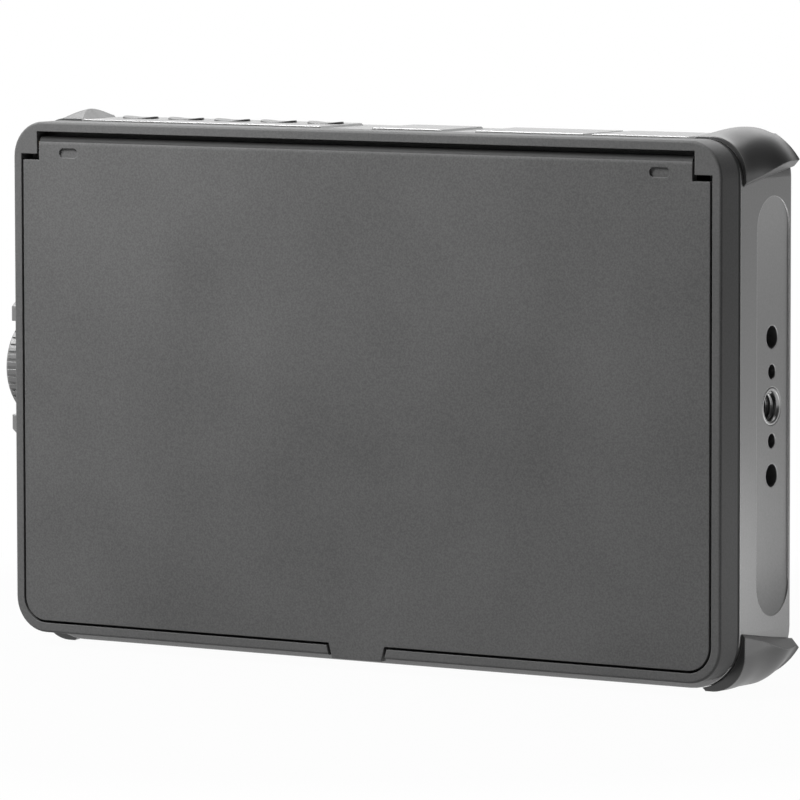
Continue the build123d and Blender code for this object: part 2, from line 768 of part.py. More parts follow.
def corner_bumper(side, level):
    """A flared corner piece; side is -1 left or 1 right, level is -1 lower or 1 upper."""
    flare_end = bumper_flare_top if level > 0 else bumper_flare_bottom
    bumper_half_height = half_height + flare_end
    corner = Vector(side * bumper_half_width, bumper_back, mid_z + level * bumper_half_height)
    flank_edge = bumper_edge(
        (side * shell_side, bumper_y, mid_z + level * (half_height - bumper_flank_front)),
        (side * shell_side, bumper_back, mid_z + level * (half_height - bumper_flank_rear)),
        (side, 0, level * bumper_bevel), corner)
    end_edge = bumper_edge(
        (side * (half_width - bumper_end_front), bumper_y, mid_z + level * half_height),
        (side * (half_width - bumper_end_rear), bumper_back, mid_z + level * half_height),
        (side * bumper_bevel, 0, level), corner)
    with BuildPart() as bumper:
        for depth_share, side_share, top_share, bottom_share, corner_share in flare_steps:
            end_share = top_share if level > 0 else bottom_share
            with BuildSketch(facing(shell_front + depth_share * (bumper_back - shell_front))):
                RectangleRounded(ring_width + 2 * side_share * bumper_flare_side,
                                 ring_height + 2 * end_share * flare_end,
                                 ring_corner + corner_share * (bumper_corner - ring_corner))
        loft()
        with BuildSketch(facing(shell_front + bumper_gap)):
            with Locations((side * (bumper_half_width - bumper_corner),
                            level * (bumper_half_height - bumper_corner))):
                Rectangle(2 * bumper_corner, 2 * bumper_corner)
        extrude(amount=shell_front + bumper_gap - bumper_back, mode=Mode.INTERSECT)
        split(bisect_by=flank_edge, keep=Keep.TOP)
        split(bisect_by=end_edge, keep=Keep.TOP)
        split(bisect_by=Plane.XY.offset(-bumper_foot), keep=Keep.TOP)
        with BuildSketch(facing(shell_front - clear)):
            add(bumper_seat)
        extrude(amount=shell_front - bumper_back - 2 * clear, mode=Mode.SUBTRACT)
    return bumper


for side, side_name in ((-1, "left"), (1, "right")):
    for level, level_name in ((-1, "bottom"), (1, "top")):
        bumper = corner_bumper(side, level)
        save(bumper, f"corner_bumper_{level_name}_{side_name}")


# ================================================================ mounting threads
def thread_insert(mouth, name):
    """A thread insert, its mouth flush with the shell."""
    with BuildPart() as insert:
        with BuildSketch(mouth):
            Circle(insert_radius)
        extrude(amount=-insert_length)
        with BuildSketch(mouth):
            Circle(insert_bore)
        extrude(amount=-insert_length, mode=Mode.SUBTRACT)
    save(insert, name)
    return insert


side_thread_insert = thread_insert(flank(scoop_x), "side_thread_insert")
bottom_thread_insert = thread_insert(Plane.XY.rotated((180, 0, 0)), "bottom_thread_insert")


# ================================================================ dial
dial_face = half_width + dial_reach
dial_floor = shell_side + dial_floor_gap + dial_travel
encoder_face = shell_side - shell_wall - encoder_gap

with BuildPart() as dial_wheel:
    with BuildSketch(flank(-dial_floor, dial_y, dial_z)):
        Circle(dial_radius)
    extrude(amount=dial_face - dial_floor, dir=(-1, 0, 0))
    chamfer(dial_wheel.faces().sort_by(Axis.X)[0].edges(), dial_edge)
    with BuildSketch(flank(-dial_floor, dial_y, dial_z)):
        with PolarLocations(dial_radius, dial_ribs):
            Rectangle(2 * dial_rib_depth, dial_groove)
    extrude(amount=dial_face - dial_floor, dir=(-1, 0, 0), mode=Mode.SUBTRACT)
    with BuildSketch(flank(-dial_face, dial_y, dial_z)):
        Circle(dial_dish)
    extrude(amount=shaft_head, mode=Mode.SUBTRACT)
    with BuildSketch(flank(-dial_face, dial_y, dial_z)):
        Circle(dial_bore)
    extrude(amount=dial_face, mode=Mode.SUBTRACT)
save(dial_wheel, "dial_wheel")

with BuildPart() as dial_shaft:
    with BuildSketch(flank(-dial_face + shaft_head - shaft_head_gap, dial_y, dial_z)):
        Circle(shaft_head_radius)
    extrude(amount=-shaft_head + 2 * shaft_head_gap)
    fillet(dial_shaft.edges().sort_by(Axis.X)[0], shaft_head / 4)
    with BuildSketch(flank(-dial_face + shaft_head - shaft_head_gap, dial_y, dial_z)):
        Circle(dial_bore - dial_shaft_fit)
    extrude(amount=dial_face - shaft_head + shaft_head_gap - encoder_face + shaft_in_encoder)
save(dial_shaft, "dial_shaft")

with BuildPart() as dial_encoder:
    with BuildSketch(flank(-encoder_face, dial_y, dial_z)):
        RectangleRounded(encoder_size, encoder_size, encoder_size / 12)
        Circle(dial_bore, mode=Mode.SUBTRACT)
    extrude(amount=encoder_depth)
save(dial_encoder, "dial_encoder")


# ================================================================ buttons
def button(x):
    """A top button: cap with a dished top, a flange under the shell's wall and a stem."""
    flange_top = inner_top - button_flange_gap
    with BuildPart() as cap:
        with BuildSketch(Plane.XY.offset(flange_top - button_flange_height)):
            with Locations((x, button_y)):
                SlotOverall(button_length, button_width)
        extrude(amount=pad_top + button_rise - flange_top + button_flange_height)
        fillet(cap.faces().sort_by(Axis.Z)[-1].edges(), button_edge)
        with BuildSketch(facing(button_y + button_width, pad_top + button_rise)):
            dish = (button_dish ** 2 + (button_length / 2) ** 2) / (2 * button_dish)
            with Locations((x, dish - button_dish)):
                Circle(dish)
        extrude(amount=2 * button_width, mode=Mode.SUBTRACT)
        with BuildSketch(Plane.XY.offset(flange_top)):
            with Locations((x, button_y)):
                SlotOverall(button_length + 2 * button_flange, button_width + 2 * button_flange)
        extrude(amount=-button_flange_height)
        with BuildSketch(Plane.XY.offset(flange_top - button_flange_height)):
            with Locations((x, button_y)):
                Circle(stem_radius)
        extrude(amount=-stem_length)
    return cap


for number, (x, _) in enumerate(button_places, start=1):
    save(button(x), f"button_{number}")

with BuildPart() as button_strip:
    with BuildSketch(Plane.XY.offset(strip_top)):
        with Locations(((strip_places[0][0] + strip_places[1][0]) / 2, button_y)):
            Rectangle(strip_places[1][0] - strip_places[0][0] + 2 * (strip_end - strip_post_end),
                      strip_width)
        with Locations(*strip_places):
            Circle(strip_screw_radius + screw_fit, mode=Mode.SUBTRACT)
    extrude(amount=-strip_thickness)
save(button_strip, "button_strip")

with BuildPart() as button_switches:
    with BuildSketch(Plane.XY.offset(strip_top)):
        with Locations(*button_places):
            Rectangle(switch_size, switch_size)
    extrude(amount=switch_height - switch_cap)
    with BuildSketch(Plane.XY.offset(switch_top)):
        with Locations(*button_places):
            Circle(stem_radius)
    extrude(amount=-switch_cap)
save(button_switches, "button_switches")


# ================================================================ screws
def screws(plane, places, radius, head, head_height, length):
    """Pan head screws whose heads sit under the plane and whose shanks run away from it."""
    with BuildPart() as group:
        with BuildSketch(plane):
            with Locations(*places):
                Circle(head)
        extrude(amount=-head_height)
        with BuildSketch(plane):
            with Locations(*places):
                Circle(radius)
        extrude(amount=-length)
        with BuildSketch(plane):
            with Locations(*places):
                RegularPolygon(radius * driver_width, 6)
        extrude(amount=-head_height * driver_depth, mode=Mode.SUBTRACT)
    return group


def rear_screws(places, seat, length):
    """Screws driven from behind; seat is the depth of the outer faces of their heads."""
    plane = Plane(origin=(0, seat, mid_z), x_dir=(-1, 0, 0), z_dir=(0, 1, 0))
    return screws(plane, [(-x, z) for x, z in places], screw_radius, screw_head, screw_head_height,
                  length)


strip_under = strip_top - strip_thickness
strip_plane = Plane(origin=(0, 0, strip_under - strip_head_height), x_dir=(1, 0, 0), z_dir=(0, 0, -1))
button_strip_screws = screws(strip_plane, [(x, -y) for x, y in strip_places], strip_screw_radius,
                             strip_head, strip_head_height, strip_screw_length)
save(button_strip_screws, "button_strip_screws")


# ================================================================ electronics
board_width = board_left + board_right
board_middle = (board_right - board_left) / 2
board_hole_z = board_half_height - board_hole_inset
standoff_places = [(x, z) for x in (board_hole_left - board_left, board_right - board_hole_inset)
                   for z in (-board_hole_z, board_hole_z)]

with BuildPart() as main_board:
    with BuildSketch(facing(board_front)):
        with Locations((board_middle, 0)):
            Rectangle(board_width, 2 * board_half_height)
        with Locations((-board_left, dial_lift)):
            Rectangle(2 * (board_left - encoder_face + encoder_depth + encoder_clearance),
                      encoder_size + 2 * encoder_clearance, mode=Mode.SUBTRACT)
        with Locations(*standoff_places):
            Circle(screw_radius + screw_fit, mode=Mode.SUBTRACT)
    extrude(amount=-board_thickness)
save(main_board, "main_board")

with BuildPart() as board_standoffs:
    with BuildSketch(facing(tray_back)):
        with Locations(*standoff_places):
            RegularPolygon(standoff_radius, 6)
            Circle(screw_radius + screw_fit, mode=Mode.SUBTRACT)
    extrude(amount=-board_standoff)
save(board_standoffs, "board_standoffs")

board_screws = rear_screws(standoff_places, board_back + screw_head_height,
                           screw_head_height + board_thickness + board_screw_grip)
save(board_screws, "board_screws")

with BuildPart() as heat_sink:
    with BuildSketch(facing(board_back)):
        with Locations(sink_centre):
            Rectangle(*sink_size)
    extrude(amount=-sink_base)
    with BuildSketch(facing(board_back + sink_base)):
        with Locations(sink_centre):
            pitch = (sink_size[0] - sink_fin_thickness) / (sink_fins - 1)
            with GridLocations(pitch, 0, sink_fins, 1):
                Rectangle(sink_fin_thickness, sink_size[1])
    extrude(amount=sink_base - sink_height)
save(heat_sink, "heat_sink")

fan_front = cover_front - fan_thickness

with BuildPart() as fan_housing:
    with BuildSketch(facing(fan_front)):
        with Locations(fan_centre):
            RectangleRounded(fan_size, fan_size, fan_size / 12)
            Circle(fan_bore, mode=Mode.SUBTRACT)
        with Locations(*fan_holes):
            Circle(screw_radius + screw_fit, mode=Mode.SUBTRACT)
    extrude(amount=-fan_thickness)
    with BuildSketch(facing(fan_front)):
        with Locations(fan_centre):
            Circle(fan_hub)
            Rectangle(2 * (fan_bore + fan_root), fan_spoke)
            Rectangle(fan_spoke, 2 * (fan_bore + fan_root))
    extrude(amount=-fan_plate)
    with BuildSketch(facing(fan_front + fan_plate)):
        with Locations(fan_centre):
            Circle(fan_axle_radius)
    extrude(amount=-(fan_thickness - fan_plate - fan_rotor_gap))
save(fan_housing, "fan_housing")

with BuildPart() as fan_rotor:
    with BuildSketch(facing(fan_front + fan_plate + fan_rotor_gap)):
        with Locations(fan_centre):
            Circle(fan_hub)
            with PolarLocations((fan_hub + fan_bore - fan_tip_gap) / 2, fan_blades):
                Rectangle(fan_bore - fan_tip_gap - fan_hub + fan_root, fan_blade)
    extrude(amount=-(fan_thickness - fan_plate - 2 * fan_rotor_gap))
    with BuildSketch(facing(fan_front)):
        with Locations(fan_centre):
            Circle(fan_axle_radius + fan_axle_fit)
    extrude(amount=-fan_thickness, mode=Mode.SUBTRACT)
save(fan_rotor, "fan_rotor")


def socket_piece(socket):
    """A board socket: a metal body with its hollow open to the left, and its contact tongue."""
    mouth = flank(-shell_side + socket_lip, socket.y, mid_z + socket.z)
    with BuildPart() as piece:
        with BuildSketch(mouth):
            Rectangle(socket.height, socket.width)
        extrude(amount=socket.depth)
        with BuildSketch(mouth):
            if socket.mouth == "round":
                Circle(phone_bore)
            else:
                RectangleRounded(socket.height - 2 * socket_wall, socket.width - 2 * socket_wall,
                                 socket_corner)
        extrude(amount=socket.depth - socket_pit, mode=Mode.SUBTRACT)
        if socket.mouth == "slot":
            with BuildSketch(flank(-shell_side + socket_lip + socket_pit, socket.y,
                                   mid_z + socket.z)):
                Rectangle(tongue_thickness, socket.width - 2 * tongue_inset)
            extrude(amount=socket.depth - socket_pit)
    return piece


for socket in socket_openings:
    save(socket_piece(socket), socket.name)


# ================================================================ rear
with BuildPart() as rear_cover:
    with BuildSketch(facing(cover_front)):
        add(cover_shape)
        with Locations(*post_places):
            Circle(screw_radius + screw_fit, mode=Mode.SUBTRACT)
        with Locations(vent_centre):
            with GridLocations(vent_pitch, 0, vent_slots, 1):
                SlotOverall(vent_length, vent_width, rotation=90, mode=Mode.SUBTRACT)
        with Locations(fan_centre):
            with PolarLocations(grille_radius, grille_slots):
                SlotOverall(grille_slot_length, vent_width, mode=Mode.SUBTRACT)
        with Locations(*fan_holes):
            Circle(screw_radius + screw_fit, mode=Mode.SUBTRACT)
        with Locations(*plate_holes):
            Circle(screw_radius + screw_fit, mode=Mode.SUBTRACT)
    extrude(amount=-cover_thickness)
    with BuildSketch(facing(rear_y)):
        with Locations(*post_places):
            Circle(screw_head + screw_fit)
        with Locations(*fan_holes):
            Circle(screw_head + screw_fit)
    extrude(amount=screw_head_depth, mode=Mode.SUBTRACT)
save(rear_cover, "rear_cover")


head_seat = rear_y - screw_head_depth + screw_head_height
rear_cover_screws = rear_screws(post_places, head_seat, screw_length)
save(rear_cover_screws, "rear_cover_screws")
fan_screws = rear_screws(fan_holes, head_seat, screw_length)
save(fan_screws, "fan_screws")

plate_back = rear_y + plate_base
channel_half = plate_size[0] / 2 - plate_rail
latch_low = plate_z + plate_size[1] / 2 - latch_inset - latch_size[1]

with BuildPart() as battery_plate:
    with BuildSketch(facing(rear_y)):
        with Locations(plate_centre):
            RectangleRounded(*plate_size, plate_corner)
        with Locations(*plate_holes):
            Circle(screw_radius + screw_fit, mode=Mode.SUBTRACT)
    extrude(amount=-plate_base)
    for side in (-1, 1):
        with BuildSketch(facing(plate_back)):
            with Locations((plate_x + side * (channel_half + plate_rail / 2), plate_z)):
                Rectangle(plate_rail, plate_size[1] - 2 * plate_corner)
        extrude(amount=-plate_rail_height)
        with BuildSketch(facing(plate_back + plate_rail_height - plate_hook_height)):
            with Locations((plate_x + side * (channel_half - plate_hook / 2), plate_z)):
                Rectangle(plate_hook, plate_size[1] - 2 * plate_corner)
        extrude(amount=-plate_hook_height)
    with BuildSketch(facing(plate_back)):
        with Locations((plate_x, latch_low + (latch_size[1] + latch_travel) / 2)):
            Rectangle(latch_size[0] + 2 * (latch_gap + latch_wall),
                      latch_size[1] + latch_travel + 2 * (latch_gap + latch_wall))
            Rectangle(latch_size[0] + 2 * latch_gap, latch_size[1] + latch_travel + 2 * latch_gap,
                      mode=Mode.SUBTRACT)
    extrude(amount=-latch_frame)
    with BuildSketch(facing(rear_y)):
        with Locations(*contact_places):
            Circle(contact_radius)
    extrude(amount=-plate_base, mode=Mode.SUBTRACT)
    with BuildSketch(facing(plate_back)):
        with Locations(*plate_holes):
            Circle(screw_head + screw_fit)
    extrude(amount=screw_head_depth, mode=Mode.SUBTRACT)
save(battery_plate, "battery_plate")

battery_plate_screws = rear_screws(plate_holes, plate_back - screw_head_depth + screw_head_height,
                                   screw_head_height + plate_base)
save(battery_plate_screws, "battery_plate_screws")

with BuildPart() as battery_latch:
    with BuildSketch(facing(plate_back + latch_gap)):
        with Locations((plate_x, latch_low + latch_size[1] / 2)):
            RectangleRounded(*latch_size, latch_corner)
    extrude(amount=latch_gap - latch_height)
    chamfer(battery_latch.faces().sort_by(Axis.Y)[-1].edges(), latch_bevel)
    with BuildSketch(facing(plate_back + latch_height)):
        with Locations((plate_x, latch_low + latch_groove_z)):
            with GridLocations(0, latch_groove_pitch, 1, latch_grooves):
                Rectangle(latch_groove_length, latch_groove_pitch / 2)
    extrude(amount=latch_gap, mode=Mode.SUBTRACT)
save(battery_latch, "battery_latch")

with BuildPart() as battery_contacts:
    with BuildSketch(facing(rear_y)):
        with Locations(*contact_places):
            Circle(contact_radius)
    extrude(amount=-(plate_base + contact_height))
    fillet(battery_contacts.faces().filter_by(Axis.Y).group_by(Axis.Y)[-1].edges(),
           contact_radius / 2)
save(battery_contacts, "battery_contacts")
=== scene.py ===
# Camera field monitor with its sun hood folded shut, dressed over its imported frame.
# Metres, in the frame of the CAD: +X to the viewer's right, +Y to the back, +Z up.
import math

import bmesh
import bpy
from mathutils import Matrix, Vector


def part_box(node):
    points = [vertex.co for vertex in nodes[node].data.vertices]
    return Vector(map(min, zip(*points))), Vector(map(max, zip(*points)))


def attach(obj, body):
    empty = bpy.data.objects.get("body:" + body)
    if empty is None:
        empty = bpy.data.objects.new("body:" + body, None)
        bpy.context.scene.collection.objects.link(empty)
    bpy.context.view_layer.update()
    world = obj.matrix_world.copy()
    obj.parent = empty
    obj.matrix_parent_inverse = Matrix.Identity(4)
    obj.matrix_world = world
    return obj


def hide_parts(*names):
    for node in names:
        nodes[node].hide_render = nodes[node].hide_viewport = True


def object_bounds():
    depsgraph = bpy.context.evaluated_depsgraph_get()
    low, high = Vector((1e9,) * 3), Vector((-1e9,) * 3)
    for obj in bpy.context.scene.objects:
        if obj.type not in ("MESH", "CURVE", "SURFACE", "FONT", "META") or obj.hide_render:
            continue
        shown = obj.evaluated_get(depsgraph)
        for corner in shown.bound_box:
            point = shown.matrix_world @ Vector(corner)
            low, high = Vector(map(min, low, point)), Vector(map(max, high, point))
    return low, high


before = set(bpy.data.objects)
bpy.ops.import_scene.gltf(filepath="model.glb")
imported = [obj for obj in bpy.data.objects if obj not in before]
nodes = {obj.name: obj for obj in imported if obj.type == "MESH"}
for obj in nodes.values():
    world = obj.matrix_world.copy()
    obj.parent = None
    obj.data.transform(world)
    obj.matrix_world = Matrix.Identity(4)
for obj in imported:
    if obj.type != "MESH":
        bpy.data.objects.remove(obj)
cad_low, cad_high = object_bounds()
MM = 0.001


# ---------------------------------------------------------------- camera
camera_place = Vector((770.95, -1225.16, 187.50)) * MM
camera_yaw = 32.29          # degrees to the left of +Y
camera_elevation = 5.13     # degrees down
camera_roll = -0.088        # degrees
focal_pixels = 6504         # focal length, in pixels of the render
render_pixels = 800         # the render's width
sensor_width = 36.0         # millimetres, as a Blender camera takes it
near_limit, far_limit = 0.1, 50.0


def set_camera():
    """The camera at its place, looking along its heading."""
    yaw, elevation, roll = (math.radians(angle)
                            for angle in (camera_yaw, camera_elevation, camera_roll))
    forward = Vector((-math.sin(yaw) * math.cos(elevation), math.cos(yaw) * math.cos(elevation),
                      -math.sin(elevation)))
    level = Vector((math.cos(yaw), math.sin(yaw), 0.0))
    upright = level.cross(forward)
    right = math.cos(roll) * level + math.sin(roll) * upright
    up = math.cos(roll) * upright - math.sin(roll) * level
    data = bpy.data.cameras.new("product_camera")
    data.lens = focal_pixels / render_pixels * sensor_width
    data.sensor_width = sensor_width
    data.clip_start, data.clip_end = near_limit, far_limit
    camera = bpy.data.objects.new("product_camera", data)
    turn = Matrix((right, up, -forward)).transposed().to_4x4()
    camera.matrix_world = Matrix.Translation(camera_place) @ turn
    bpy.context.scene.collection.objects.link(camera)
    bpy.context.scene.camera = camera


set_camera()


# ---------------------------------------------------------------- shader building
class Term:
    """A value in a node tree; arithmetic on it adds Math nodes."""

    def __init__(self, tree, socket):
        self.tree = tree
        self.socket = socket

    def maths(self, operation, first, second):
        return self.tree.node("ShaderNodeMath", {"operation": operation}, {0: first, 1: second})

    def __add__(self, other):
        return self.maths("ADD", self, other)

    def __radd__(self, other):
        return self.maths("ADD", other, self)

    def __sub__(self, other):
        return self.maths("SUBTRACT", self, other)

    def __rsub__(self, other):
        return self.maths("SUBTRACT", other, self)

    def __mul__(self, other):
        return self.maths("MULTIPLY", self, other)

    def __rmul__(self, other):
        return self.maths("MULTIPLY", other, self)

    def __truediv__(self, other):
        return self.maths("DIVIDE", self, other)

    def __rtruediv__(self, other):
        return self.maths("DIVIDE", other, self)

    def most(self, other):
        """The greater of this value and another."""
        return self.maths("MAXIMUM", self, other)

    def clamped(self, low=0.0, high=1.0):
        return self.tree.node("ShaderNodeClamp", {}, {"Value": self, "Min": low, "Max": high})

    def swing(self, amount):
        """The value's distance from one half, times an amount."""
        return (self - 0.5) * amount

    def sharper(self, contrast):
        """The value spread about one half, held between 0 and 1."""
        return (self.swing(contrast) + 0.5).clamped()

    def blended(self, other, share):
        """This value with a share of another in it, held between 0 and 1."""
        return (self * (1 - share) + other * share).clamped()


class Tree:
    """A node tree, filled one node at a time."""

    def __init__(self, tree):
        self.tree = tree
        self.tree.nodes.clear()

    def node(self, kind, settings=None, inputs=None, output=0):
        """Adds a node: its settings first, then the values or links of its sockets."""
        made = self.tree.nodes.new(kind)
        for name, value in (settings or {}).items():
            setattr(made, name, value)
        for name, value in (inputs or {}).items():
            if isinstance(value, Term):
                self.tree.links.new(value.socket, made.inputs[name])
            else:
                made.inputs[name].default_value = value
        return Term(self, made.outputs[output]) if made.outputs else None

    def part(self, vector, axis):
        """One of a vector's three numbers."""
        return self.node("ShaderNodeSeparateXYZ", {}, {"Vector": vector}, output=axis)


def tone(level, warmth=0.0):
    """A neutral colour of that linear brightness, warmer above 0 and cooler below."""
    return (level * (1 + warmth), level, level * (1 - warmth), 1.0)


def scaled(colour, gain):
    """A colour made brighter or darker, up to white."""
    return tuple(min(1.0, channel * gain) for channel in colour[:3]) + (1.0,)


def wear_and_highlight_tone(level, gain, lift):
    """The neutral colour of a lighter edge, from the brightness of what is round it: worn, and on
    moulded plastic also a painted highlight.
    """
    return tone(min(1.0, level * gain + lift))


class Finish(Tree):
    """One material, on the piece's own place."""

    edge_contrast = 4.0     # how soon a turning surface counts as an edge
    bevel_samples = 6
    wave_phase = 20         # a wave texture's phase, in radians for each unit of its scale

    def __init__(self, name):
        self.material = bpy.data.materials.new(name)
        self.material.use_nodes = True
        super().__init__(self.material.node_tree)
        self.place = self.node("ShaderNodeTexCoord", output="Object")

    def noise(self, size, detail, rough, place=None):
        """Noise whose features are about that many metres across; it runs from 0 to 1."""
        return self.node("ShaderNodeTexNoise", {"noise_dimensions": "3D"},
                         {"Vector": place or self.place, "Scale": 1.0 / size, "Detail": detail,
                          "Roughness": rough})

    def pits(self, size):
        """Cells about that many metres across: 0 in the middle of each, more at its edge."""
        return self.node("ShaderNodeTexVoronoi", {"feature": "F1"},
                         {"Vector": self.place, "Scale": 1.0 / size}, output="Distance")

    def waves(self, pitch, axis):
        """Parallel ribs across an axis, from 0 to 1."""
        return self.node("ShaderNodeTexWave", {"wave_type": "BANDS", "bands_direction": axis},
                         {"Vector": self.place, "Scale": 2 * math.pi / (self.wave_phase * pitch)},
                         output="Fac")

    def checks(self, pitch):
        """Squares of 0 and 1, a pitch across."""
        return self.node("ShaderNodeTexChecker", {}, {"Vector": self.place, "Scale": 1.0 / pitch},
                         output="Fac")

    def stretched(self, x=1.0, y=1.0, z=1.0):
        """The piece's own place, scaled along each axis; less than 1 draws a pattern out."""
        return self.node("ShaderNodeMapping", {}, {"Vector": self.place, "Scale": (x, y, z)})

    def mixed(self, share, first, second):
        """A colour between two, by a share from 0 to 1."""
        return self.node("ShaderNodeMix", {"data_type": "RGBA"}, {0: share, 6: first, 7: second},
                         output=2)

    def shaded(self, share, level, spread):
        """A neutral colour that varies about a brightness, by a share from 0 to 1."""
        return self.mixed(share, tone(level * (1 - spread)), tone(level * (1 + spread)))

    def own_normal(self):
        """The surface's normal, before any bump."""
        return self.node("ShaderNodeNewGeometry", output="Normal")

    def edges(self, radius):
        """The normal rounded over the edges, and a mask that is 1 on them."""
        soft = self.node("ShaderNodeBevel", {"samples": self.bevel_samples}, {"Radius": radius})
        same = self.node("ShaderNodeVectorMath", {"operation": "DOT_PRODUCT"},
                         {0: soft, 1: self.own_normal()}, output="Value")
        return soft, ((1.0 - same) * self.edge_contrast).clamped()

    def relief(self, height, depth, normal):
        """The normal of a surface raised by a height times a depth."""
        return self.node("ShaderNodeBump", {}, {"Strength": 1.0, "Distance": depth,
                                                "Height": height, "Normal": normal})

    def close(self, **sockets):
        """Ends the material in a surface shader with those sockets."""
        surface = self.node("ShaderNodeBsdfPrincipled", {},
                            {name.replace("_", " "): value for name, value in sockets.items()},
                            output="BSDF")
        self.node("ShaderNodeOutputMaterial", {}, {"Surface": surface})
        return self.material


def moulded(name, level, spread=0.18, grain=0.42 * MM, rough=0.55, gloss=0.22, painted_shade_above=None):
    """Textured plastic: a sparkling fine grain, dull clouds and lighter edges, partly worn and
    partly a painted highlight; above a height, where that is given, painted shade darkens it."""
    grain_contrast, grain_depth = 3.0, 0.010 * MM
    cloud_size, cloud_contrast, cloud_share = 90 * grain, 2.6, 0.38
    scuff_size = 9 * grain
    edge_radius, edge_wear, edge_gain, edge_lift = 0.25 * MM, 0.3, 1.8, 0.03
    # dark_share and the blur set the painted shade over the top of a piece: how dark it is, and how
    # soft its lower edge is.
    dark_share, painted_shade_blur = 0.1, 0.1 * MM
    finish = Finish(name)
    fine = finish.noise(grain, detail=2.0, rough=0.6)
    cloud = finish.noise(cloud_size, detail=2.0, rough=0.5)
    scuffs = finish.noise(scuff_size, detail=4.0, rough=0.65)
    normal, worn = finish.edges(edge_radius)
    share = fine.sharper(grain_contrast).blended(cloud.sharper(cloud_contrast), cloud_share)
    # The edges are made lighter, partly as rubbed wear and partly as a painted highlight.
    rubbed_and_highlit = (worn * edge_wear * (0.5 + scuffs)).clamped()
    colour = finish.mixed(rubbed_and_highlit, finish.shaded(share, level, spread),
                          wear_and_highlight_tone(level, edge_gain, edge_lift))
    # Painted shade: above the given height the colour is darkened, where the lid's hinge barrel
    # lies in shade.
    if painted_shade_above is not None:
        painted_shade_mask = ((finish.part(finish.place, "Z") - painted_shade_above) / painted_shade_blur).clamped()
        colour = finish.mixed(painted_shade_mask, colour, tone(level * dark_share))
    roughness = rough + fine.swing(0.2) + cloud.swing(0.03) + scuffs.swing(0.06)
    return finish.close(Base_Color=colour, Metallic=0.0, Specular_IOR_Level=gloss,
                        Roughness=roughness.clamped(),
                        Normal=finish.relief(fine, grain_depth, normal))


# The milled hollow of the shell's flank. Its floor curves up to its two ends, where its slope is
# hollow_slope. Within its outline, only what lies further out than hollow_side is its floor.
hollow_side, hollow_middle = 91.2 * MM, 60.45 * MM
hollow_length, hollow_width, hollow_slope = 91.0 * MM, 14.4 * MM, 0.22
hollow_rim_contrast, hollow_side_blur = 200.0, 0.01 * MM


def hollow_form(finish, normal):
    """The normal of the hollow's floor, and elsewhere the normal that is given."""
    width, depth, height = (finish.part(finish.place, axis) for axis in "XYZ")
    along = (height - hollow_middle) / (hollow_length / 2)
    rise = along * along * along * along * (hollow_slope * hollow_length / 8)
    dished = finish.relief(rise, 1.0, normal)
    run = (height - hollow_middle).most(hollow_middle - height)
    past = (run - (hollow_length - hollow_width) / 2).most(0.0)
    apart = (depth * depth + past * past) / (hollow_width / 2) ** 2
    inside = ((1.0 - apart) * hollow_rim_contrast).clamped()
    on_flank = ((width - hollow_side) / hollow_side_blur).clamped()
    return finish.node("ShaderNodeMix", {"data_type": "VECTOR"},
                       {0: inside * on_flank, 4: normal, 5: dished}, output=1)


def blasted(name, level, grain=0.3 * MM, rough=0.38, edge=0.3 * MM, form=None):
    """Bead-blasted, anodised metal: shallow pits, faint drawing streaks and bright edges."""
    spread, metal_share, pit_depth = 0.14, 0.85, 0.006 * MM
    fine_size, fine_contrast, streak_share = grain * 1.4, 2.5, 0.4
    edge_wear, edge_gain, edge_lift = 0.8, 2.4, 0.08
    finish = Finish(name)
    pits = finish.pits(grain)
    fine = finish.noise(fine_size, detail=2.0, rough=0.6)
    streaks = finish.noise(grain, detail=2.0, rough=0.5, place=finish.stretched(x=0.05, z=0.05))
    normal, worn = finish.edges(edge)
    normal = form(finish, normal) if form else normal
    share = fine.sharper(fine_contrast).blended(streaks, streak_share)
    colour = finish.mixed(worn * edge_wear, finish.shaded(share, level, spread),
                          wear_and_highlight_tone(level, edge_gain, edge_lift))
    roughness = rough + fine.swing(0.16) + streaks.swing(0.08)
    return finish.close(Base_Color=colour, Metallic=metal_share, Roughness=roughness.clamped(),
                        Normal=finish.relief(pits, pit_depth, normal))


def bright_metal(name, colour, rough=0.25, edge=0.1 * MM, tarnish=0.35):
    """Plated or turned metal: hairline tool marks and dull stains."""
    line_size, line_share, line_depth = 0.12 * MM, 0.4, 0.003 * MM
    stain_size, stain_contrast = 2.2 * MM, 2.0
    edge_wear, edge_gain = 0.5, 1.25
    finish = Finish(name)
    lines = finish.noise(line_size, detail=2.0, rough=0.6, place=finish.stretched(y=0.15))
    stains = finish.noise(stain_size, detail=3.0, rough=0.6)
    normal, worn = finish.edges(edge)
    share = stains.sharper(stain_contrast).blended(lines, line_share)
    body = finish.mixed(share, colour, scaled(colour, 1 - tarnish))
    shine = finish.mixed(worn * edge_wear, body, scaled(colour, edge_gain))
    roughness = rough + stains.swing(0.15) + lines.swing(0.12)
    return finish.close(Base_Color=shine, Metallic=1.0, Roughness=roughness.clamped(),
                        Normal=finish.relief(lines, line_depth, normal))


def rubber(name, level):
    """Smooth soft-touch rubber: a faint bloom of dust, and paler along its edges, partly rubbed
    wear and partly a painted highlight.
    """
    spread, gloss, rough = 0.15, 0.8, 0.36
    grain_size, grain_depth = 0.22 * MM, 0.002 * MM
    bloom_size, bloom_share = 6 * MM, 0.4
    edge_radius, edge_wear, worn_highlight_level = 0.35 * MM, 0.6, 0.45
    finish = Finish(name)
    fine = finish.noise(grain_size, detail=2.0, rough=0.6)
    bloom = finish.noise(bloom_size, detail=3.0, rough=0.55)
    normal, worn = finish.edges(edge_radius)
    body = finish.shaded(fine.blended(bloom, bloom_share), level, spread)
    roughness = rough + bloom.swing(0.12) + fine.swing(0.08)
    # Painted highlight, with some rubbed wear: the edges are mixed towards a pale grey.
    return finish.close(Base_Color=finish.mixed(worn * edge_wear, body, tone(worn_highlight_level)),
                        Specular_IOR_Level=gloss, Roughness=roughness.clamped(),
                        Normal=finish.relief(fine, grain_depth, normal))


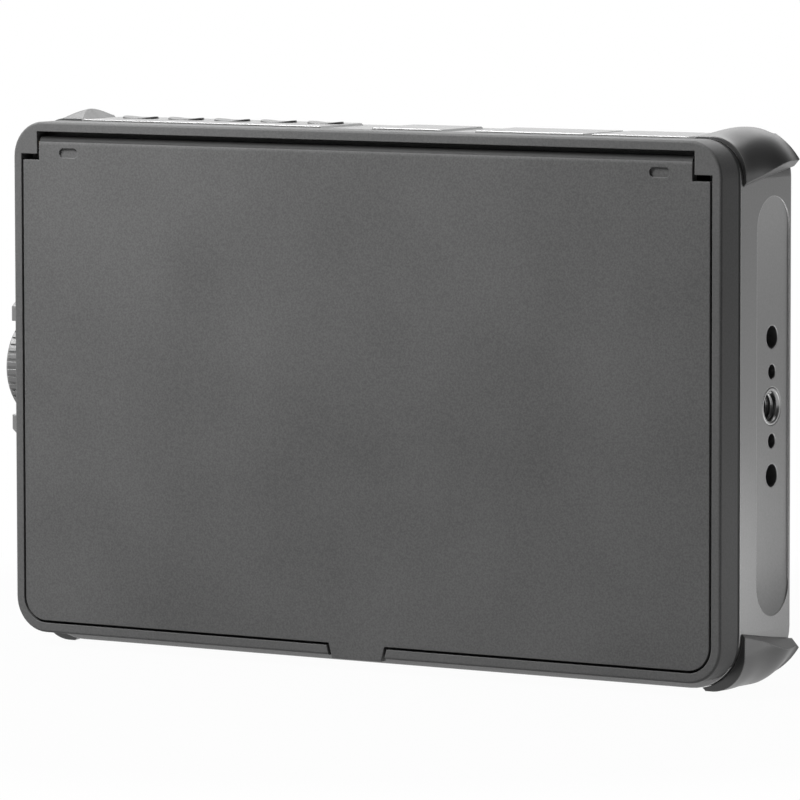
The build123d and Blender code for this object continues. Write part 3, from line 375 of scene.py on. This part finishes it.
def woven(name, level):
    """Black lining cloth: a plain weave with a short fuzz."""
    pitch, dark_share, light_share = 0.5 * MM, 0.4, 1.7
    fuzz_size, fuzz_share, thread_depth = 0.25 * MM, 0.4, 0.05 * MM
    finish = Finish(name)
    warp, weft = finish.waves(pitch, "X"), finish.waves(pitch, "Z")
    thread = warp + finish.checks(pitch) * (weft - warp)
    fuzz = finish.noise(fuzz_size, detail=3.0, rough=0.7)
    colour = finish.mixed(thread.blended(fuzz, fuzz_share), tone(level * dark_share),
                          tone(level * light_share))
    return finish.close(Base_Color=colour, Roughness=(0.8 + fuzz * 0.2).clamped(), Sheen_Weight=0.3,
                        Sheen_Roughness=0.5, Specular_IOR_Level=0.2,
                        Normal=finish.relief(thread + fuzz * fuzz_share, thread_depth,
                                             finish.own_normal()))


def screen_glass(name, level, rough=0.05):
    """Coated screen glass: near black, with faint smears that show in its gloss."""
    smear_size, smear_contrast = 14 * MM, 2.0
    dust_size, dust_contrast, dust_share, dust_level = 0.5 * MM, 6.0, 0.12, 0.09
    edge_radius, edge_wear = 0.12 * MM, 0.5
    glass_warmth, dust_warmth = -0.12, -0.05
    finish = Finish(name)
    smears = finish.noise(smear_size, detail=4.0, rough=0.6, place=finish.stretched(z=0.35))
    dust = finish.noise(dust_size, detail=1.0, rough=0.5).sharper(dust_contrast)
    normal, worn = finish.edges(edge_radius)
    colour = finish.mixed((dust * dust_share + worn * edge_wear).clamped(),
                          tone(level, glass_warmth), tone(dust_level, dust_warmth))
    roughness = rough + smears.sharper(smear_contrast) * 0.06 + dust * 0.02
    return finish.close(Base_Color=colour, Specular_IOR_Level=0.6, Normal=normal,
                        Coat_Roughness=0.03, Roughness=roughness.clamped(),
                        Coat_Weight=(0.6 - smears * 0.3).clamped())


def solder_mask(name):
    """Green solder mask over copper runs, with bare gold pads."""
    mask_dark, mask_light = (0.006, 0.045, 0.016, 1.0), (0.010, 0.070, 0.025, 1.0)
    run_green, pad_gold = (0.03, 0.16, 0.055, 1.0), (0.75, 0.52, 0.18, 1.0)
    run_share, step_height = 0.7, 0.03 * MM
    pad_pitch, pad_contrast, mottle_size = 3.2 * MM, 5.0, 0.8 * MM
    finish = Finish(name)
    upright = finish.node("ShaderNodeMapping", {}, {"Vector": finish.place,
                                                    "Rotation": (math.pi / 2, 0.0, 0.0)})
    runs = finish.node("ShaderNodeTexBrick", {"offset": 0.5},
                       {"Vector": upright, "Scale": 120.0, "Mortar Size": 0.03,
                        "Brick Width": 0.9, "Row Height": 0.22}, output="Fac")
    pads = (1.0 - finish.pits(pad_pitch) * pad_contrast).clamped()
    mottle = finish.noise(mottle_size, detail=2.0, rough=0.5)
    traced = finish.mixed(runs * run_share, finish.mixed(mottle, mask_dark, mask_light), run_green)
    return finish.close(Base_Color=finish.mixed(pads, traced, pad_gold),
                        Roughness=(0.35 + mottle * 0.15 - pads * 0.1).clamped(), Metallic=pads,
                        Normal=finish.relief(runs + pads, step_height, finish.own_normal()))


def film(name, level):
    """White diffuser film with a fine dot pattern."""
    dot_pitch, dot_contrast, dot_height = 0.9 * MM, 4.0, 0.01 * MM
    haze_size, haze_share, haze_level = 20 * MM, 0.4, 0.82
    finish = Finish(name)
    dots = (1.0 - finish.pits(dot_pitch) * dot_contrast).clamped()
    haze = finish.noise(haze_size, detail=2.0, rough=0.5)
    colour = finish.mixed(dots.blended(haze, haze_share), tone(level * haze_level), tone(level))
    return finish.close(Base_Color=colour, Roughness=(0.5 + haze * 0.2).clamped(),
                        Normal=finish.relief(dots, dot_height, finish.own_normal()))


def local_height(node, below_top):
    """A height in a node's own frame, measured down from its top."""
    top = Vector(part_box(node)[1])
    return (nodes[node].matrix_world.inverted() @ (top - Vector((0, 0, below_top)))).z


def slot_name(material):
    """The record's material slot that a material stands for."""
    return material.name.split(".")[0]


lid_painted_shade_band = 1.35 * MM        # how far the painted shade over the lid's hinge barrel reaches below its top
finishes = {slot_name(made): made for made in (
    moulded("hood_plastic", level=0.112),
    moulded("clip_plastic", level=0.06, rough=0.5),
    # The lid's top is darkened by painted shade over its hinge barrel.
    moulded("lid_plastic", level=0.106, spread=0.25, painted_shade_above=local_height("hood_lid", lid_painted_shade_band)),
    woven("lining_fabric", level=0.02),
    moulded("wing_plastic", level=0.03, grain=0.6 * MM, rough=0.65),
    blasted("shell_metal", level=0.22, form=hollow_form),
    blasted("cover_metal", level=0.16, rough=0.46),
    rubber("bumper_rubber", level=0.04),
    blasted("dial_metal", level=0.17, grain=0.2 * MM, rough=0.42, edge=0.12 * MM),
    moulded("button_plastic", level=0.09, spread=0.1, grain=0.2 * MM, rough=0.3, gloss=0.5),
    screen_glass("cover_glass", level=0.006),
    screen_glass("panel_dark", level=0.004, rough=0.2),
    film("backlight_film", level=0.8),
    moulded("bezel_plastic", level=0.02, grain=0.8 * MM),
    bright_metal("tray_steel", colour=(0.50, 0.50, 0.51, 1.0), rough=0.4),
    solder_mask("board_resin"),
    moulded("switch_plastic", level=0.025, grain=0.25 * MM),
    bright_metal("socket_steel", colour=(0.62, 0.61, 0.60, 1.0)),
    moulded("fan_plastic", level=0.018, grain=0.3 * MM, rough=0.45),
    blasted("sink_aluminium", level=0.09, grain=0.5 * MM, rough=0.5),
    moulded("plate_plastic", level=0.03, grain=0.5 * MM, rough=0.6),
    bright_metal("contact_gold", colour=(0.83, 0.60, 0.25, 1.0), rough=0.2, tarnish=0.2),
    bright_metal("bush_brass", colour=(0.16, 0.12, 0.08, 1.0), rough=0.35),
    bright_metal("insert_steel", colour=tone(0.36), rough=0.3, edge=0.15 * MM),
    bright_metal("magnet_nickel", colour=(0.64, 0.62, 0.58, 1.0), rough=0.18),
    bright_metal("screw_steel", colour=(0.16, 0.16, 0.165, 1.0), rough=0.3),
)}

for node in nodes.values():
    for slot in node.material_slots:
        slot.material = finishes[slot_name(slot.material)]


# ---------------------------------------------------------------- thread inserts
thread_pitch = 1.27 * MM
wire_radius = 0.42 * MM
bore_radius = 2.6 * MM      # left free inside the wound wire
coil_start = 0.5 * MM       # from the sleeve's mouth to the wire
coil_short = 0.8 * MM       # how much shorter than its sleeve the coil is
coil_steps, wire_sides, sleeve_steps = 40, 10, 72

# The sleeve's outline, as (radius, depth): its outer wall, rounded mouth, funnel and bore.
sleeve_outline = [(radius * MM, depth * MM) for radius, depth in (
    (4.2, 8.98), (4.2, 0.18), (4.14, 0.06), (4.02, 0.0), (3.62, 0.0), (3.44, 0.06), (3.30, 0.2),
    (3.12, 0.55), (3.08, 0.7), (3.08, 8.98))]


def coil_maker():
    """Geometry nodes that wind a wire into a thread, from the origin up +Z."""
    maker = Tree(bpy.data.node_groups.new("thread_coil", "GeometryNodeTree"))
    sockets = {}
    for label, kind in (("Turns", "Float"), ("Coil radius", "Float"), ("Length", "Float"),
                        ("Wire radius", "Float"), ("Steel", "Material")):
        sockets[label] = maker.tree.interface.new_socket(label, in_out="INPUT",
                                                         socket_type="NodeSocket" + kind).identifier
    maker.tree.interface.new_socket("Coil", in_out="OUTPUT", socket_type="NodeSocketGeometry")
    turns, coil_radius, length, thickness, steel = (maker.node("NodeGroupInput", output=label)
                                                    for label in sockets)
    helix = maker.node("GeometryNodeCurveSpiral", {}, {
        "Resolution": coil_steps, "Rotations": turns, "Start Radius": coil_radius,
        "End Radius": coil_radius, "Height": length})
    wire = maker.node("GeometryNodeCurvePrimitiveCircle", {}, {"Resolution": wire_sides,
                                                               "Radius": thickness})
    swept = maker.node("GeometryNodeCurveToMesh", {}, {"Curve": helix, "Profile Curve": wire,
                                                       "Fill Caps": True})
    smooth = maker.node("GeometryNodeSetShadeSmooth", {}, {"Geometry": swept})
    real = maker.node("GeometryNodeRealizeInstances", {}, {"Geometry": smooth})
    coated = maker.node("GeometryNodeSetMaterial", {}, {"Geometry": real, "Material": steel})
    maker.node("NodeGroupOutput", {}, {"Coil": coated})
    return maker.tree, sockets


def wound_coil(name, tree, sockets, values):
    """The coil as a plain mesh."""
    seed = bpy.data.objects.new(name + "_seed", bpy.data.meshes.new(name + "_seed"))
    bpy.context.scene.collection.objects.link(seed)
    winding = seed.modifiers.new("winding", "NODES")
    winding.node_group = tree
    for label, value in values.items():
        winding[sockets[label]] = value
    graph = bpy.context.evaluated_depsgraph_get()
    coil = bpy.data.meshes.new_from_object(seed.evaluated_get(graph))
    seed.modifiers.remove(winding)
    bpy.data.objects.remove(seed)
    return coil


def turned_sleeve(shape, profile, steps):
    """Turns a closed outline of (radius, depth) round Z; depth goes down."""
    rings = [[shape.verts.new((radius * math.cos(2 * math.pi * step / steps),
                               radius * math.sin(2 * math.pi * step / steps), -depth))
              for step in range(steps)] for radius, depth in profile]
    for ring, following in zip(rings, rings[1:] + rings[:1]):
        for step in range(steps):
            after = (step + 1) % steps
            shape.faces.new((ring[step], following[step], following[after], ring[after]))


winder, winder_sockets = coil_maker()


def thread_insert(name, node, way_out):
    """A sleeve with a wound thread in it; way_out is the direction that its screw leaves in."""
    low, high = (Vector(corner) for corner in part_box(node))
    middle = (low + high) / 2
    reach = max((high - low)[axis] * abs(way_out[axis]) for axis in range(3)) / 2
    length = 2 * reach - 2 * wire_radius - coil_short
    coil = wound_coil(name, winder, winder_sockets, {
        "Turns": length / thread_pitch, "Coil radius": bore_radius + wire_radius, "Length": length,
        "Wire radius": wire_radius, "Steel": finishes["insert_steel"]})
    shape = bmesh.new()
    shape.from_mesh(coil)
    bpy.data.meshes.remove(coil)
    bmesh.ops.translate(shape, verts=shape.verts, vec=(0, 0, -length - wire_radius - coil_start))
    turned_sleeve(shape, sleeve_outline, sleeve_steps)
    bmesh.ops.recalc_face_normals(shape, faces=shape.faces)
    turn = way_out.to_track_quat("Z", "Y").to_matrix().to_4x4()
    bmesh.ops.transform(shape, verts=shape.verts,
                        matrix=Matrix.Translation(middle + way_out * reach) @ turn)
    for face in shape.faces:
        face.smooth = True
        face.material_index = 0
    mesh = bpy.data.meshes.new(name)
    shape.to_mesh(mesh)
    shape.free()
    mesh.materials.append(finishes["insert_steel"])
    piece = bpy.data.objects.new(name, mesh)
    bpy.context.scene.collection.objects.link(piece)
    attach(piece, "monitor")
    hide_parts(node)


thread_insert("side_wound_thread", "side_thread_insert", Vector((1, 0, 0)))
thread_insert("bottom_wound_thread", "bottom_thread_insert", Vector((0, 0, -1)))


# ---------------------------------------------------------------- studio
white = (1.0, 1.0, 1.0, 1.0)

# The floor: its drop below the object and its reach; the colour that takes the shadow; and how
# bright it is on its own near the object and further out, from where, and by how much a metre.
floor_drop, floor_reach = 0.02 * MM, 6.0
floor_colour = tone(0.28)
glow_near, glow_far, glow_start, glow_slope = 0.97, 1.0, 0.18, 0.6

# The room's light: its level, how much less comes from the right and more from above, its least.
room_level, room_fall, room_rise, room_least = 0.17, 0.16, 0.06, 0.02
# What gloss mirrors of the room, in the same order, with less of it from above.
gloss_level, gloss_fall, gloss_drop, gloss_least = 1.0, 1.5, 0.8, 0.08


def soft_lamp(name, position, aim, size, power):
    """A square lamp, size metres across, that gives power watts towards aim."""
    data = bpy.data.lights.new(name, "AREA")
    data.shape, data.size, data.energy = "SQUARE", size, power
    lamp = bpy.data.objects.new(name, data)
    lamp.location = position
    lamp.rotation_euler = (Vector(aim) - Vector(position)).to_track_quat("-Z", "Y").to_euler()
    bpy.context.scene.collection.objects.link(lamp)


def shows_white(tree):
    """1 for the rays that show the white surroundings: seen directly, in gloss or through glass."""
    direct, gloss, through = (tree.node("ShaderNodeLightPath", output=kind) for kind in
                              ("Is Camera Ray", "Is Glossy Ray", "Is Transmission Ray"))
    return direct.most(gloss).most(through)


def studio_floor(level, reach):
    """White paper that is bright on its own and keeps the shade under the object."""
    mesh = bpy.data.meshes.new("studio_floor")
    mesh.from_pydata([(-reach, -reach, level), (reach, -reach, level), (reach, reach, level),
                      (-reach, reach, level)], [], [(0, 1, 2, 3)])
    floor = bpy.data.objects.new("studio_floor", mesh)
    bpy.context.scene.collection.objects.link(floor)
    paper = Finish("studio_paper")
    away = paper.node("ShaderNodeVectorMath", {"operation": "LENGTH"}, {0: paper.place},
                      output="Value")
    bright = (glow_near + (away - glow_start) * glow_slope).clamped(glow_near, glow_far)
    matt = paper.node("ShaderNodeBsdfDiffuse", {}, {"Color": floor_colour})
    glow = paper.node("ShaderNodeEmission", {}, {"Color": white, "Strength": 1.0})
    both = paper.node("ShaderNodeMixShader", {}, {0: shows_white(paper) * bright, 1: matt, 2: glow})
    paper.node("ShaderNodeOutputMaterial", {}, {"Surface": both})
    mesh.materials.append(paper.material)


def studio_room():
    """White all round to the eye; it lights the object more from the left and above."""
    world = bpy.data.worlds.new("studio_world")
    world.use_nodes = True
    bpy.context.scene.world = world
    room = Tree(world.node_tree)
    way = room.node("ShaderNodeTexCoord", output="Generated")
    rightward, upward = room.part(way, "X"), room.part(way, "Z")
    gloss = room.node("ShaderNodeLightPath", output="Is Glossy Ray")
    direct = room.node("ShaderNodeLightPath", output="Is Camera Ray")
    lit = (room_level - rightward * room_fall + upward * room_rise).clamped(room_least, 1.0)
    mirrored = (gloss_level - rightward * gloss_fall
                - upward.most(0.0) * gloss_drop).clamped(gloss_least, 1.0)
    shade = lit + gloss * (mirrored - lit)
    strength = shade + direct * (1.0 - shade)
    background = room.node("ShaderNodeBackground", {}, {"Color": white, "Strength": strength})
    room.node("ShaderNodeOutputWorld", {}, {"Surface": background})


studio_floor(cad_low.z - floor_drop, floor_reach)
studio_room()
soft_lamp("key_lamp", position=(-0.20, -0.27, 0.40), aim=(0.0, 0.0, 0.06), size=0.2, power=2.5)
soft_lamp("top_lamp", position=(-0.30, 0.30, 0.90), aim=(0.0, 0.0, 0.10), size=1.6, power=12.5)
soft_lamp("low_lamp", position=(0.17, 0.05, 0.01), aim=(0.09, -0.01, 0.01), size=0.05, power=0.026)

bpy.context.scene.view_settings.view_transform = "Standard"
